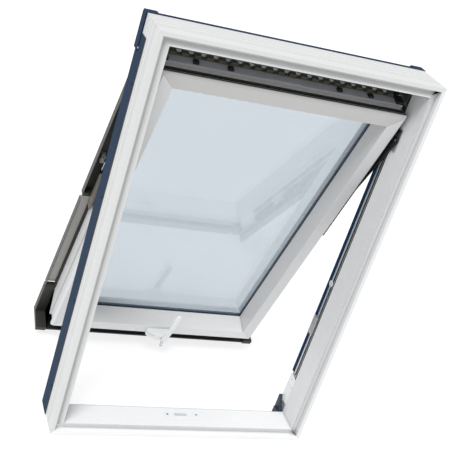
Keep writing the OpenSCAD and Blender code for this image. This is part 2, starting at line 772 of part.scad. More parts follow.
// ---------- drawing ----------
frame_head();
frame_sill();
frame_stile_left();
frame_stile_right();
frame_steel_cores();
frame_gasket();
rail_left();
rail_right();
rail_end_blocks();
rail_clips();
side_cover_left();
side_cover_right();
cover_seals();
cover_screws();
head_cover();
hood_end_left();
hood_end_right();
sill_cover();
cover_corner_left();
cover_corner_right();
striker_plate();
fitting_screws();
frame_hinge_left();
frame_hinge_right();
stay_brackets();
side_buffers();
arm_left();
arm_right();
arm_cover_left();
arm_cover_right();
arm_housings();
arm_cover_clips();
sash_head();
sash_sill();
sash_stile_left();
sash_stile_right();
sash_steel_cores();
glass_inner_pane();
glass_outer_pane();
glass_spacer();
glazing_gaskets();
sash_cover_top();
sash_cover_bottom();
sash_covers_side();
sash_cover_liners();
sash_corners();
sash_side_gaskets();
sash_head_gaskets();
sash_head_strip();
vent_comb();
vent_filter();
head_fittings();
sash_pivots();
lock_case();
pull_loop();
handle_lever();
latch_bolt();
stay_left();
stay_right();
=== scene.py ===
"""Looks of a top-hung roof window: plastic frame and sash, glazing, metal covers, fittings."""

import json
import logging
import math
from dataclasses import dataclass, field
from enum import Enum
from typing import Any, Iterable

import bmesh
import bpy
from mathutils import Matrix, Vector

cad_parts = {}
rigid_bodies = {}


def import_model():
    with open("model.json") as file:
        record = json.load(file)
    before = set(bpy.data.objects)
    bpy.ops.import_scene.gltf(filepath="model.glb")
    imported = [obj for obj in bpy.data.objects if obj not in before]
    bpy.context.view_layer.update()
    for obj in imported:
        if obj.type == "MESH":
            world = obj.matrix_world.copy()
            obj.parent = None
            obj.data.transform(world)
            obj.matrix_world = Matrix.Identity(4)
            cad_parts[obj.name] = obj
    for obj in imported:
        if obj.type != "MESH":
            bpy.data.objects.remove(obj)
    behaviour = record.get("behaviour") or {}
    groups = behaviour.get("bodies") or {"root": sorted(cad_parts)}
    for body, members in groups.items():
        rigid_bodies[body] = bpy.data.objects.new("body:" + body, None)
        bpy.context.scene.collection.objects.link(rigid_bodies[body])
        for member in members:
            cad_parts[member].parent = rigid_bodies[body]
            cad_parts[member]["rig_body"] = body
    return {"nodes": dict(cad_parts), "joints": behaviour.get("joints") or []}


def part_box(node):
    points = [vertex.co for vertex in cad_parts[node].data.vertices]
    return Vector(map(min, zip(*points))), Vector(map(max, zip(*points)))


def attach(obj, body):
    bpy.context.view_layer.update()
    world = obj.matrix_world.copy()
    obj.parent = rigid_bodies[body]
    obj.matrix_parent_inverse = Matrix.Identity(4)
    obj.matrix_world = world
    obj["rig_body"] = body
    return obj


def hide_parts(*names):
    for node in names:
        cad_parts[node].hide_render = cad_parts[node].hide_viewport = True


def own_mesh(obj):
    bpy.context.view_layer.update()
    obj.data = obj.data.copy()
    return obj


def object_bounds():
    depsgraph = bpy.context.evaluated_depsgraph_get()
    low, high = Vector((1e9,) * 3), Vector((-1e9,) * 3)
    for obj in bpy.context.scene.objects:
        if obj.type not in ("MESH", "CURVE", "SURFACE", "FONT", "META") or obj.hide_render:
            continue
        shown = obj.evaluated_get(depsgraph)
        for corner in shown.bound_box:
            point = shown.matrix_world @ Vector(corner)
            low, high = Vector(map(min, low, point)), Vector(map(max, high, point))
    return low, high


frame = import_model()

CAD_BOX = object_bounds()
LOG = logging.getLogger("roof_window")

Colour = tuple[float, float, float]
Triple = tuple[float, float, float]
Socket = bpy.types.NodeSocket

WHITE = (1.0, 1.0, 1.0, 1.0)

# what every finish shares
CLOUD_SCALE = 9.0           # slow drifts of tone, repeats a metre
DUST_SCALE = 900.0          # specks, repeats a metre
DUST_COLOUR = "8A8880"
FLECK_TONE = 0.86           # grain flecks against the base colour
GROOVE_SHADE_REACH = 0.014        # how far the painted shade reaches out of a groove, in metres
GROOVE_SHADE_TONE = 0.35          # how dark the painted shade in grooves gets against the base colour
GRAIN_DEPTH = 0.0002        # metres
COAT_ROUGHNESS = 0.12

# how CAD copies are cleaned and rounded
WELD_DISTANCE = 2e-6        # metres
FLAT_ANGLE = math.radians(0.6)
SHARP_ANGLE = math.radians(28)


def srgb(code: str) -> Colour:
    """Turns a six-digit colour code into scene-linear light.

    Args:
        code: Six hexadecimal digits, red first.

    Returns:
        The red, green and blue amounts.
    """
    parts = [int(code[i:i + 2], 16) / 255 for i in (0, 2, 4)]
    red, green, blue = (p / 12.92 if p <= 0.04045 else ((p + 0.055) / 1.055) ** 2.4 for p in parts)
    return red, green, blue


# ---------- finishes ----------
class Grain(Enum):
    """How a surface was made, which sets the marks it carries."""

    MOULDED = "fine even texture from a mould"
    EXTRUDED = "faint lines along the profile"
    BRUSHED = "long drawn scratches"
    COATED = "soft ripple of a baked coating"
    RUBBER = "dull skin with dusty specks"
    CAST = "grainy cast or forged metal"


class NodePen:
    """Draws the nodes of one material."""

    def __init__(self, name: str) -> None:
        """Starts an empty material.

        Args:
            name: The material's name.
        """
        self.material = bpy.data.materials.new(name)
        self.material.use_nodes = True
        self.tree = self.material.node_tree
        self.tree.nodes.clear()
        self.output = self.add("ShaderNodeOutputMaterial")
        self.shader = self.add("ShaderNodeBsdfPrincipled")
        self.join(self.shader.outputs["BSDF"], self.output.inputs["Surface"])
        self.place = self.add("ShaderNodeTexCoord").outputs["Object"]

    def add(self, kind: str, **values: Any) -> bpy.types.Node:
        """Adds a node.

        Args:
            kind: The node's type name.
            **values: Properties or, where a socket has that name, socket values.

        Returns:
            The new node.
        """
        node = self.tree.nodes.new(kind)
        for key, value in values.items():
            if hasattr(node, key):
                setattr(node, key, value)
            else:
                node.inputs[key.replace("_", " ")].default_value = value
        return node

    def join(self, source: Socket, target: Socket) -> None:
        """Links one socket to another."""
        self.tree.links.new(source, target)

    def mapped(self, stretch: Triple) -> Socket:
        """Object coordinates with each axis scaled.

        Args:
            stretch: The scale along X, Y and Z.

        Returns:
            The mapped vector socket.
        """
        node = self.add("ShaderNodeMapping")
        node.inputs["Scale"].default_value = stretch
        self.join(self.place, node.inputs["Vector"])
        return node.outputs["Vector"]

    def noise(self, vector: Socket, scale: float, detail: float) -> Socket:
        """A noise pattern.

        Args:
            vector: Where the pattern is read.
            scale: Repeats a metre.
            detail: How many finer layers are added.

        Returns:
            The pattern's strength socket.
        """
        node = self.add("ShaderNodeTexNoise")
        node.inputs["Scale"].default_value = scale
        node.inputs["Detail"].default_value = detail
        self.join(vector, node.inputs["Vector"])
        return node.outputs["Fac"]

    def ranged(self, source: Socket, low: float, high: float,
               start: float = 0.3, end: float = 0.7) -> Socket:
        """Spreads a pattern over a new range.

        Args:
            source: The pattern.
            low: The value at start.
            high: The value at end.
            start: The pattern strength that gives low.
            end: The pattern strength that gives high.

        Returns:
            The spread pattern.
        """
        node = self.add("ShaderNodeMapRange")
        for name, value in (("From Min", start), ("From Max", end),
                            ("To Min", low), ("To Max", high)):
            node.inputs[name].default_value = value
        self.join(source, node.inputs["Value"])
        return node.outputs["Result"]

    def between(self, amount: Socket, first: Colour, second: Colour) -> Socket:
        """Two colours mixed by a pattern.

        Args:
            amount: The pattern, 0 to 1.
            first: The colour at 0.
            second: The colour at 1.

        Returns:
            The mixed colour.
        """
        node = self.add("ShaderNodeMix", data_type="RGBA")
        for socket in node.inputs:
            if socket.name in ("A", "B") and socket.type == "RGBA":
                socket.default_value = (*(first if socket.name == "A" else second), 1.0)
        self.join(amount, node.inputs["Factor"])
        return next(s for s in node.outputs if s.type == "RGBA")

    def blended(self, amount: Socket, base: Socket,
                over: Colour) -> Socket:
        """Lays one colour over a coloured pattern.

        Args:
            amount: How much of the colour on top shows, 0 to 1.
            base: The pattern below.
            over: The colour on top.

        Returns:
            The blended colour.
        """
        node = self.add("ShaderNodeMix", data_type="RGBA")
        below = next(s for s in node.inputs if s.name == "A" and s.type == "RGBA")
        above = next(s for s in node.inputs if s.name == "B" and s.type == "RGBA")
        above.default_value = (*over, 1.0)
        self.join(base, below)
        self.join(amount, node.inputs["Factor"])
        return next(s for s in node.outputs if s.type == "RGBA")

    def relief(self, height: Socket, strength: float, depth: float) -> None:
        """Raises the surface by a pattern.

        Args:
            height: The pattern.
            strength: How much of it is used.
            depth: Its height in metres.
        """
        node = self.add("ShaderNodeBump")
        node.inputs["Strength"].default_value = strength
        node.inputs["Distance"].default_value = depth
        self.join(height, node.inputs["Height"])
        self.join(node.outputs["Normal"], self.shader.inputs["Normal"])


@dataclass(frozen=True)
class Finish:
    """A solid surface: its colour, gloss and the marks of how it was made, with painted shade in
    the grooves of extruded plastic.
    """

    name: str
    colour: Colour
    roughness: float
    grain: Grain = Grain.MOULDED
    metallic: float = 0.0
    stray: float = 0.05
    gloss_range: float = 0.08
    relief: float = 0.2
    along: int = 2
    coat: float = 0.0
    specular: float = 0.5
    dust: float = 0.0

    def stretch(self) -> Triple:
        """The pattern's scale along each axis for this grain."""
        if self.grain is Grain.BRUSHED:
            return tuple(0.03 if axis == self.along else 1.0 for axis in range(3))
        if self.grain is Grain.EXTRUDED:
            return tuple(0.12 if axis == self.along else 1.0 for axis in range(3))
        return 1.0, 1.0, 1.0

    def scale(self) -> float:
        """How many repeats of the grain fit in a metre."""
        return {Grain.MOULDED: 520.0, Grain.EXTRUDED: 190.0, Grain.BRUSHED: 700.0,
                Grain.COATED: 240.0, Grain.RUBBER: 420.0, Grain.CAST: 340.0}[self.grain]

    def build(self) -> bpy.types.Material:
        """Makes the Blender material.

        Returns:
            The material with colour, roughness and relief patterns, and painted shade in the
            grooves of extruded plastic.
        """
        pen = NodePen(self.name)
        grain = pen.noise(pen.mapped(self.stretch()), self.scale(), 5.0)
        cloud = pen.noise(pen.place, CLOUD_SCALE, 3.0)
        dark = tuple(c * (1 - self.stray) for c in self.colour)
        light = tuple(min(1.0, c * (1 + self.stray)) for c in self.colour)
        base = pen.between(pen.ranged(cloud, 0.0, 1.0), dark, light)
        fleck = pen.ranged(grain, 0.0, 0.35 * min(1.0, self.stray * 8), 0.52, 0.75)
        base = pen.blended(fleck, base, tuple(c * FLECK_TONE for c in self.colour))
        # painted shade: an ambient-occlusion node darkens the colour in grooves and recesses of
        # extruded plastic
        if self.grain is Grain.EXTRUDED:
            groove_shade_ao = pen.add("ShaderNodeAmbientOcclusion", samples=8)
            groove_shade_ao.inputs["Distance"].default_value = GROOVE_SHADE_REACH
            shadow = pen.ranged(groove_shade_ao.outputs["AO"], 0.5, 0.0, 0.25, 0.85)
            base = pen.blended(shadow, base, tuple(c * GROOVE_SHADE_TONE for c in self.colour))
        if self.dust > 0:
            specks = pen.ranged(pen.noise(pen.place, DUST_SCALE, 2.0), 0.0, self.dust, 0.55, 0.72)
            base = pen.blended(specks, base, srgb(DUST_COLOUR))
        pen.join(base, pen.shader.inputs["Base Color"])
        low = max(0.03, self.roughness - self.gloss_range)
        high = min(1.0, self.roughness + self.gloss_range)
        pen.join(pen.ranged(grain, low, high), pen.shader.inputs["Roughness"])
        pen.relief(grain, self.relief, GRAIN_DEPTH)
        pen.shader.inputs["Metallic"].default_value = self.metallic
        pen.shader.inputs["Coat Weight"].default_value = self.coat
        pen.shader.inputs["Coat Roughness"].default_value = COAT_ROUGHNESS
        pen.shader.inputs["Specular IOR Level"].default_value = self.specular
        return pen.material


@dataclass(frozen=True)
class GlassFinish:
    """Clear insulating glass with a faint cool tint and wiped smears."""

    name: str
    tint: Colour
    smear: float = 0.004
    index: float = 1.5

    def build(self) -> bpy.types.Material:
        """Makes the Blender material.

        Returns:
            A see-through material, tinted a little unevenly.
        """
        pen = NodePen(self.name)
        wipe = pen.noise(pen.mapped((1.0, 1.0, 0.35)), 5.0, 3.0)
        thin = tuple(min(1.0, c * 1.015) for c in self.tint)
        pen.join(pen.between(pen.ranged(wipe, 0.0, 1.0), self.tint, thin),
                 pen.shader.inputs["Base Color"])
        pen.join(pen.ranged(wipe, 0.0, self.smear), pen.shader.inputs["Roughness"])
        pen.shader.inputs["Transmission Weight"].default_value = 1.0
        pen.shader.inputs["IOR"].default_value = self.index
        return pen.material


@dataclass(frozen=True)
class MeshFinish:
    """Woven filter cloth: crossed threads with shallow pores."""

    name: str
    thread: Colour
    pore: Colour
    pitch: float = 0.0022

    def build(self) -> bpy.types.Material:
        """Makes the Blender material.

        Returns:
            A woven material in which warp and weft show as ribs.
        """
        pen = NodePen(self.name)
        waves = []
        for axis in ("X", "Z"):
            wave = pen.add("ShaderNodeTexWave", wave_type="BANDS", bands_direction=axis)
            wave.inputs["Scale"].default_value = 0.314 / self.pitch
            wave.inputs["Distortion"].default_value = 0.6
            pen.join(pen.place, wave.inputs["Vector"])
            waves.append(wave.outputs["Fac"])
        cross = pen.add("ShaderNodeMath", operation="MAXIMUM")
        pen.join(waves[0], cross.inputs[0])
        pen.join(waves[1], cross.inputs[1])
        weave = cross.outputs[0]
        pen.join(pen.between(pen.ranged(weave, 0.0, 1.0, 0.2, 0.9), self.pore, self.thread),
                 pen.shader.inputs["Base Color"])
        pen.join(pen.ranged(weave, 0.95, 0.75, 0.0, 1.0), pen.shader.inputs["Roughness"])
        pen.relief(weave, 0.5, 0.0004)
        return pen.material


AnyFinish = Finish | GlassFinish | MeshFinish


@dataclass(frozen=True)
class Palette:
    """Every finish on the window."""

    frame_plastic: Finish = Finish("frame_plastic", srgb("C6C7C7"), 0.36, Grain.EXTRUDED,
        stray=0.01, relief=0.015, coat=0.06)
    frame_rail: Finish = Finish("frame_rail_plastic", srgb("C6C7C7"), 0.36, Grain.EXTRUDED,
        stray=0.01, relief=0.015, along=0, coat=0.06)
    # painted light: the frame sill is a lighter copy of the frame plastic, for its brighter upward
    # faces
    sill_plastic_painted_light: Finish = Finish("sill_plastic_painted_light", srgb("DEDFE0"), 0.34, Grain.EXTRUDED,
        stray=0.008, relief=0.012, along=0, coat=0.06)
    # painted light: the right stile is a lighter copy of the frame plastic, to brighten its shaded
    # inner reveal
    right_stile_painted_light: Finish = Finish("right_stile_plastic_painted_light", srgb("CFD0D1"), 0.36, Grain.EXTRUDED,
        stray=0.01, relief=0.015, coat=0.06)
    # painted shade: the sash head is a darker copy of the sash plastic, because its face looks
    # downward
    sash_head_plastic_painted_shade: Finish = Finish("sash_head_plastic_painted_shade", srgb("B6B6B5"), 0.38, Grain.EXTRUDED,
        stray=0.01, relief=0.015, along=0, coat=0.04)
    rebate_tape: Finish = Finish("rebate_tape", srgb("EDEFF1"), 0.5, Grain.COATED, stray=0.01,
        relief=0.05)
    # painted light: the sash sill is a lighter copy of the sash plastic, for its brighter upward
    # reveal
    sash_sill_plastic_painted_light: Finish = Finish("sash_sill_plastic_painted_light", srgb("D6D7D8"), 0.34, Grain.EXTRUDED,
        stray=0.008, relief=0.012, along=0, coat=0.06)
    sash_plastic: Finish = Finish("sash_plastic", srgb("CBCCCD"), 0.36, Grain.EXTRUDED, stray=0.01,
        relief=0.015, coat=0.06)
    steel: Finish = Finish("galvanised_steel", srgb("9A9C9E"), 0.5, Grain.CAST, metallic=1.0,
        stray=0.12)
    seal_rubber: Finish = Finish("seal_rubber", srgb("17181A"), 0.62, Grain.RUBBER, stray=0.2,
        relief=0.35, dust=0.12)
    rail_aluminium: Finish = Finish("rail_aluminium", srgb("C4C6C8"), 0.38, Grain.BRUSHED,
        metallic=0.9, stray=0.06)
    white_fitting: Finish = Finish("white_fitting", srgb("DEE0E1"), 0.3, stray=0.012, relief=0.04,
        coat=0.1)
    zinc: Finish = Finish("zinc_plate", srgb("BFC1C2"), 0.34, Grain.CAST, metallic=1.0, stray=0.1)
    cover_blue: Finish = Finish("cover_blue", srgb("0E2A45"), 0.6, Grain.COATED, stray=0.06,
        relief=0.12, specular=0.08)
    corner_dark: Finish = Finish("corner_dark", srgb("22303F"), 0.5, stray=0.08, relief=0.3)
    corner_black: Finish = Finish("corner_black", srgb("23231F"), 0.5, stray=0.1, relief=0.3)
    screw_steel: Finish = Finish("screw_steel", srgb("B9BCC0"), 0.28, Grain.CAST, metallic=1.0,
        stray=0.1)
    buffer_grey: Finish = Finish("buffer_grey", srgb("BABCBE"), 0.55, Grain.RUBBER, stray=0.05)
    arm_black: Finish = Finish("arm_black", srgb("1B1C1F"), 0.44, Grain.CAST, metallic=0.35,
        stray=0.15, relief=0.25)
    cover_olive: Finish = Finish("cover_olive", srgb("2B2A24"), 0.48, Grain.COATED, stray=0.08)
    housing_grey: Finish = Finish("housing_grey", srgb("6E6A63"), 0.5, Grain.CAST, metallic=0.3,
        stray=0.08)
    glass: GlassFinish = GlassFinish("glass", (0.715, 0.751, 0.783))
    spacer_dark: Finish = Finish("spacer_dark", srgb("2A4156"), 0.42, Grain.BRUSHED, metallic=0.4,
        stray=0.08)
    glazing_rubber: Finish = Finish("glazing_rubber", srgb("1D1E20"), 0.6, Grain.RUBBER,
        stray=0.15, relief=0.3, dust=0.08)
    cover_black: Finish = Finish("cover_black", srgb("191A1C"), 0.46, Grain.COATED, metallic=0.2,
        stray=0.12, relief=0.15, coat=0.1)
    liner_grey: Finish = Finish("liner_grey", srgb("C4C2BC"), 0.6, Grain.COATED, stray=0.05)
    strip_grey: Finish = Finish("strip_grey", srgb("9A9DA3"), 0.5, Grain.EXTRUDED, stray=0.06,
        along=0)
    comb_olive: Finish = Finish("comb_olive", srgb("4E4B3E"), 0.6, stray=0.1, relief=0.4)
    filter_light: MeshFinish = MeshFinish("filter_cloth", srgb("C3CAD2"), srgb("8D959E"))
    fitting_black: Finish = Finish("fitting_black", srgb("17181A"), 0.45, stray=0.15, relief=0.3)
    loop_blue: Finish = Finish("loop_blue", srgb("7088A0"), 0.55, Grain.RUBBER, stray=0.08)


# ---------- shaping ----------
@dataclass
class Dresser:
    """Keeps one material per finish and puts finished pieces in place."""

    nodes: dict[str, bpy.types.Object]
    made: dict[str, bpy.types.Material] = field(default_factory=dict)

    def material(self, finish: AnyFinish) -> bpy.types.Material:
        """The material of a finish, made once.

        Args:
            finish: The finish wanted.

        Returns:
            Its Blender material.
        """
        if finish.name not in self.made:
            self.made[finish.name] = finish.build()
        return self.made[finish.name]

    def paint(self, names: Iterable[str], finish: AnyFinish) -> None:
        """Gives CAD nodes a finish without touching their meshes.

        Args:
            names: The nodes.
            finish: Their finish.
        """
        for name in names:
            mesh = self.nodes[name].data
            mesh.materials.clear()
            mesh.materials.append(self.material(finish))
            LOG.info("painted %s with %s", name, finish.name)

    def merged_copy(self, name: str) -> bmesh.types.BMesh:
        """A welded copy of a CAD node, with flat areas made single faces.

        Args:
            name: The node.

        Returns:
            The copy, ready to shape.
        """
        shape = bmesh.new()
        shape.from_mesh(self.nodes[name].data)
        bmesh.ops.remove_doubles(shape, verts=shape.verts, dist=WELD_DISTANCE)
        bmesh.ops.dissolve_limit(shape, angle_limit=FLAT_ANGLE, verts=shape.verts,
                                 edges=shape.edges, use_dissolve_boundaries=False)
        return shape

    def finish_piece(self, shape: bmesh.types.BMesh, name: str, finish: AnyFinish, slot: str,
                     body: str, stands_for: Iterable[str]) -> bpy.types.Object:
        """Turns a shape into a finished piece on its body.

        Args:
            shape: The mesh, in the row frame. It is freed.
            name: The piece's name.
            finish: Its finish.
            slot: The record's material slot; not used.
            body: The CAD body it rides on.
            stands_for: The CAD nodes it replaces.

        Returns:
            The new object.
        """
        mesh = bpy.data.meshes.new(name)
        shape.to_mesh(mesh)
        shape.free()
        for spare in [a.name for a in mesh.attributes if a.name in ("custom_normal", "sharp_face")]:
            mesh.attributes.remove(mesh.attributes[spare])
        mesh.materials.clear()
        mesh.materials.append(self.material(finish))
        mesh.shade_smooth()
        piece = bpy.data.objects.new(name, mesh)
        bpy.context.scene.collection.objects.link(piece)
        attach(piece, body)
        names = list(stands_for)
        if names:
            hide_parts(*names)
        LOG.info("built %s on %s with %s", name, body, finish.name)
        return piece

    def soften(self, name: str, finish: AnyFinish, slot: str, radius: float,
               segments: int = 2) -> bpy.types.Object:
        """Replaces a CAD node with a copy whose edges are rounded.

        Args:
            name: The node.
            finish: Its finish.
            slot: The record's material slot.
            radius: The edge rounding in metres.
            segments: Faces across each rounded edge.

        Returns:
            The rounded piece.
        """
        body = self.nodes[name]["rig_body"]
        piece = self.finish_piece(self.merged_copy(name), "soft_" + name, finish, slot, body,
                                  [name])
        rounding = piece.modifiers.new("rounded_edges", "BEVEL")
        rounding.width = radius
        rounding.segments = segments
        rounding.limit_method = "ANGLE"
        rounding.angle_limit = SHARP_ANGLE
        rounding.use_clamp_overlap = True
        rounding.harden_normals = True
        rounding.miter_outer = "MITER_ARC"
        return piece


@dataclass(frozen=True)
class Trim:
    """How one CAD node is shown."""

    finish: AnyFinish
    slot: str
    radius: float = 0.0


@dataclass
class Group:
    """A sub-assembly made of CAD nodes that are rounded and painted."""

    dresser: Dresser
    palette: Palette

    def trims(self) -> dict[str, Trim]:
        """What each of the group's nodes gets."""
        return {}

    def build(self) -> None:
        """Rounds or paints every node of the group."""
        for name, trim in self.trims().items():
            if trim.radius > 0:
                self.dresser.soften(name, trim.finish, trim.slot, trim.radius)
            else:
                self.dresser.paint([name], trim.finish)


@dataclass
class FrameBody(Group):
    """The white plastic frame with its steel cores and seal."""

    corner_radius: float = 0.0008

    def trims(self) -> dict[str, Trim]:
        """The four members, their cores and the seal round the reveal."""
        p, r = self.palette, self.corner_radius
        return {
            "frame_head": Trim(p.frame_rail, "frame_plastic", r),
            "frame_sill": Trim(p.sill_plastic_painted_light, "frame_plastic", r),
            "frame_stile_left": Trim(p.frame_plastic, "frame_plastic", r),
            "frame_stile_right": Trim(p.right_stile_painted_light, "frame_plastic", r),
            "frame_steel_cores": Trim(p.steel, "steel"),
            "frame_gasket": Trim(p.seal_rubber, "seal_rubber", 0.0004),
        }


@dataclass
class InnerRails(Group):
    """The aluminium rails inside the stiles, their white end blocks and clips."""

    edge_radius: float = 0.0004

    def trims(self) -> dict[str, Trim]:
        """Rails, blocks and clips."""
        p, r = self.palette, self.edge_radius
        return {
            "rail_left": Trim(p.rail_aluminium, "rail_aluminium", r),
            "rail_right": Trim(p.rail_aluminium, "rail_aluminium", r),
            "rail_end_blocks": Trim(p.white_fitting, "white_fitting", 2 * r),
            "rail_clips": Trim(p.zinc, "zinc", r),
        }


@dataclass
class OuterCovers(Group):
    """The coated metal covers round the outside of the frame."""

    fold_radius: float = 0.0005

    def trims(self) -> dict[str, Trim]:
        """Side, head and sill covers with their corners and seals."""
        p, r = self.palette, self.fold_radius
        blue = Trim(p.cover_blue, "cover_blue", r)
        dark = Trim(p.corner_dark, "corner_dark", 0.001)
        return {
            "side_cover_left": blue, "side_cover_right": blue, "head_cover": blue,
            "hood_end_left": blue, "hood_end_right": blue, "sill_cover": blue,
            "cover_corner_left": dark, "cover_corner_right": dark,
            "cover_seals": Trim(p.seal_rubber, "seal_rubber", 0.0003),
            "cover_screws": Trim(p.cover_blue, "cover_blue", 0.0003),
        }


@dataclass
class RevealStrips(Group):
    """The thin seal and bead that run up the inside of each side cover."""

    thickness: float = 0.0009
    seal_band: tuple[float, float] = (0.034, 0.041)
    bead_band: tuple[float, float] = (0.0415, 0.0480)
    edge_radius: float = 0.0003
    end_clearance: float = 0.008
    proud_share: float = 0.15

    def build(self) -> None:
        """Builds a seal and a bead on both sides."""
        p = self.palette
        for side in ("left", "right"):
            self.strip(f"cover_seal_strip_{side}", side, self.seal_band, p.seal_rubber,
                       "seal_rubber")
            self.strip(f"cover_bead_{side}", side, self.bead_band, p.rail_aluminium,
                       "rail_aluminium")

    def strip(self, name: str, side: str, band: tuple[float, float], finish: Finish,
              slot: str) -> None:
        """One straight strip along a rail.

        Args:
            name: The piece's name.
            side: Left or right.
            band: Where its two edges lie along Y, in metres.
            finish: Its finish.
            slot: The record's material slot.
        """
        low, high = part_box(f"rail_{side}")
        inner = low.x if side == "right" else high.x
        outward = 1.0 if side == "right" else -1.0
        shape = bmesh.new()
        bmesh.ops.create_cube(shape, size=1.0)
        size = Vector((self.thickness, band[1] - band[0], high.z - low.z - self.end_clearance))
        centre = Vector((inner - outward * self.thickness * self.proud_share,
                         (band[0] + band[1]) / 2, (low.z + high.z) / 2))
        bmesh.ops.scale(shape, vec=size, verts=shape.verts)
        bmesh.ops.translate(shape, vec=centre, verts=shape.verts)
        bmesh.ops.bevel(shape, geom=list(shape.edges), offset=self.edge_radius, segments=2,
                        profile=0.5, affect="EDGES", material=-1)
        self.dresser.finish_piece(shape, name, finish, slot, "frame", [])


@dataclass
class FrameFittings(Group):
    """The striker, hinges, stay brackets and buffers on the frame."""

    edge_radius: float = 0.0006

    def trims(self) -> dict[str, Trim]:
        """Metal fittings fixed to the frame."""
        p, r = self.palette, self.edge_radius
        return {
            "striker_plate": Trim(p.white_fitting, "white_fitting", r),
            "fitting_screws": Trim(p.screw_steel, "screw_steel", 0.0003),
            "frame_hinge_left": Trim(p.zinc, "zinc", r),
            "frame_hinge_right": Trim(p.zinc, "zinc", r),
            "stay_brackets": Trim(p.zinc, "zinc", r),
            "side_buffers": Trim(p.buffer_grey, "buffer_grey", 0.001),
        }


@dataclass
class LiftingArms(Group):
    """The two arms that carry the sash, with their covers, housings and clips."""

    edge_radius: float = 0.0006

    def trims(self) -> dict[str, Trim]:
        """Arms and what is fixed to them, and the two stays."""
        p, r = self.palette, self.edge_radius
        return {
            "arm_left": Trim(p.arm_black, "arm_black", r),
            "arm_right": Trim(p.arm_black, "arm_black", r),
            "arm_cover_left": Trim(p.cover_olive, "cover_olive", 0.0004),
            "arm_cover_right": Trim(p.cover_olive, "cover_olive", 0.0004),
            "arm_housings": Trim(p.housing_grey, "housing_grey", 0.0012),
            "arm_cover_clips": Trim(p.zinc, "zinc", r),
            "stay_left": Trim(p.arm_black, "arm_black", r),
            "stay_right": Trim(p.arm_black, "arm_black", r),
        }


@dataclass
class SashBody(Group):
    """The white plastic sash with its cores, latch bolt and turning pins."""

    corner_radius: float = 0.0008

    def trims(self) -> dict[str, Trim]:
        """The four members and what sits inside them."""
        p, r = self.palette, self.corner_radius
        return {
            "sash_head": Trim(p.sash_head_plastic_painted_shade, "sash_plastic", r),
            "sash_sill": Trim(p.sash_sill_plastic_painted_light, "sash_plastic", r),
            "sash_stile_left": Trim(p.sash_plastic, "sash_plastic", r),
            "sash_stile_right": Trim(p.sash_plastic, "sash_plastic", r),
            "sash_steel_cores": Trim(p.steel, "steel"),
            "sash_pivots": Trim(p.zinc, "zinc", 0.0005),
            "latch_bolt": Trim(p.zinc, "zinc", 0.0005),
        }


@dataclass
class Glazing(Group):
    """The sealed double pane, its spacer and gaskets."""

    def build(self) -> None:
        """Dresses the glazing and lets light fall through the panes."""
        super().build()
        for name in ("glass_inner_pane", "glass_outer_pane"):
            self.dresser.nodes[name].visible_shadow = False

    def trims(self) -> dict[str, Trim]:
        """Panes, spacer and rubber."""
        p = self.palette
        return {
            "glass_inner_pane": Trim(p.glass, "glass"),
            "glass_outer_pane": Trim(p.glass, "glass"),
            "glass_spacer": Trim(p.spacer_dark, "spacer_dark"),
            "glazing_gaskets": Trim(p.glazing_rubber, "glazing_rubber", 0.0004),
        }


def joint(name: str) -> dict[str, Any]:
    """The CAD joint of that name."""
    return next(j for j in frame["joints"] if j["name"] == name)


def sash_place() -> Matrix:
    """Where the spindle leaves the sash: X across, Y outward, Z up the sash.

    Returns:
        The matrix from sash sizes to the row frame.
    """
    spindle = joint("handle_turn")
    outward = -Vector(spindle["axis"]).normalized()
    across = Vector((1.0, 0.0, 0.0))
    up = across.cross(outward)
    turn = Matrix((across, outward, up)).transposed().to_4x4()
    return Matrix.Translation(Vector(spindle["pos_m"])) @ turn


@dataclass
class RebateLining(Group):
    """The pale tape that lines the rebate outside the outer pane."""

    reach: float = 0.0104
    thickness: float = 0.0004
    start: float = 0.0003
    depth: float = 0.0240
    edge_radius: float = 0.0001

    def build(self) -> None:
        """Builds the four strips as one piece."""
        place = sash_place()
        back = place.inverted()
        points = [back @ v.co for v in self.dresser.nodes["glass_outer_pane"].data.vertices]
        low = Vector([min(p[i] for p in points) for i in range(3)])
        high = Vector([max(p[i] for p in points) for i in range(3)])
        inner_low, inner_high = low.copy(), high.copy()
        for i in (0, 2):
            inner_low[i] += self.reach
            inner_high[i] -= self.reach
        near, far = high.y + self.start, high.y + self.start + self.depth
        wall = self.thickness
        bars = [
            ((inner_low.x, near, inner_low.z - wall), (inner_high.x, far, inner_low.z)),
            ((inner_low.x, near, inner_high.z), (inner_high.x, far, inner_high.z + wall)),
            ((inner_low.x - wall, near, inner_low.z), (inner_low.x, far, inner_high.z)),
            ((inner_high.x, near, inner_low.z), (inner_high.x + wall, far, inner_high.z)),
        ]
        shape = bmesh.new()
        for first, last in bars:
            bar = bmesh.ops.create_cube(shape, size=1.0)
            a, b = Vector(first), Vector(last)
            bmesh.ops.scale(shape, vec=b - a, verts=bar["verts"])
            bmesh.ops.translate(shape, vec=(a + b) / 2, verts=bar["verts"])
        bmesh.ops.bevel(shape, geom=list(shape.edges), offset=self.edge_radius, segments=1,
                        profile=0.5, affect="EDGES", material=-1)
        bmesh.ops.transform(shape, matrix=place, verts=shape.verts)
        self.dresser.finish_piece(shape, "rebate_tape", self.palette.rebate_tape, "white_fitting",
                                  "sash", [])


@dataclass
class SashCovers(Group):
    """The metal covers, liners and seals on the outside of the sash."""

    fold_radius: float = 0.0005

    def trims(self) -> dict[str, Trim]:
        """Covers, liners, corners and seals."""
        p, r = self.palette, self.fold_radius
        black = Trim(p.cover_black, "cover_black", r)
        return {
            "sash_cover_top": black, "sash_cover_bottom": black, "sash_covers_side": black,
            "sash_corners": Trim(p.corner_black, "corner_dark", 0.001),
            "sash_cover_liners": Trim(p.liner_grey, "liner_grey", 0.0003),
            "sash_side_gaskets": Trim(p.seal_rubber, "seal_rubber", 0.0004),
            "sash_head_gaskets": Trim(p.seal_rubber, "seal_rubber", 0.0004),
        }


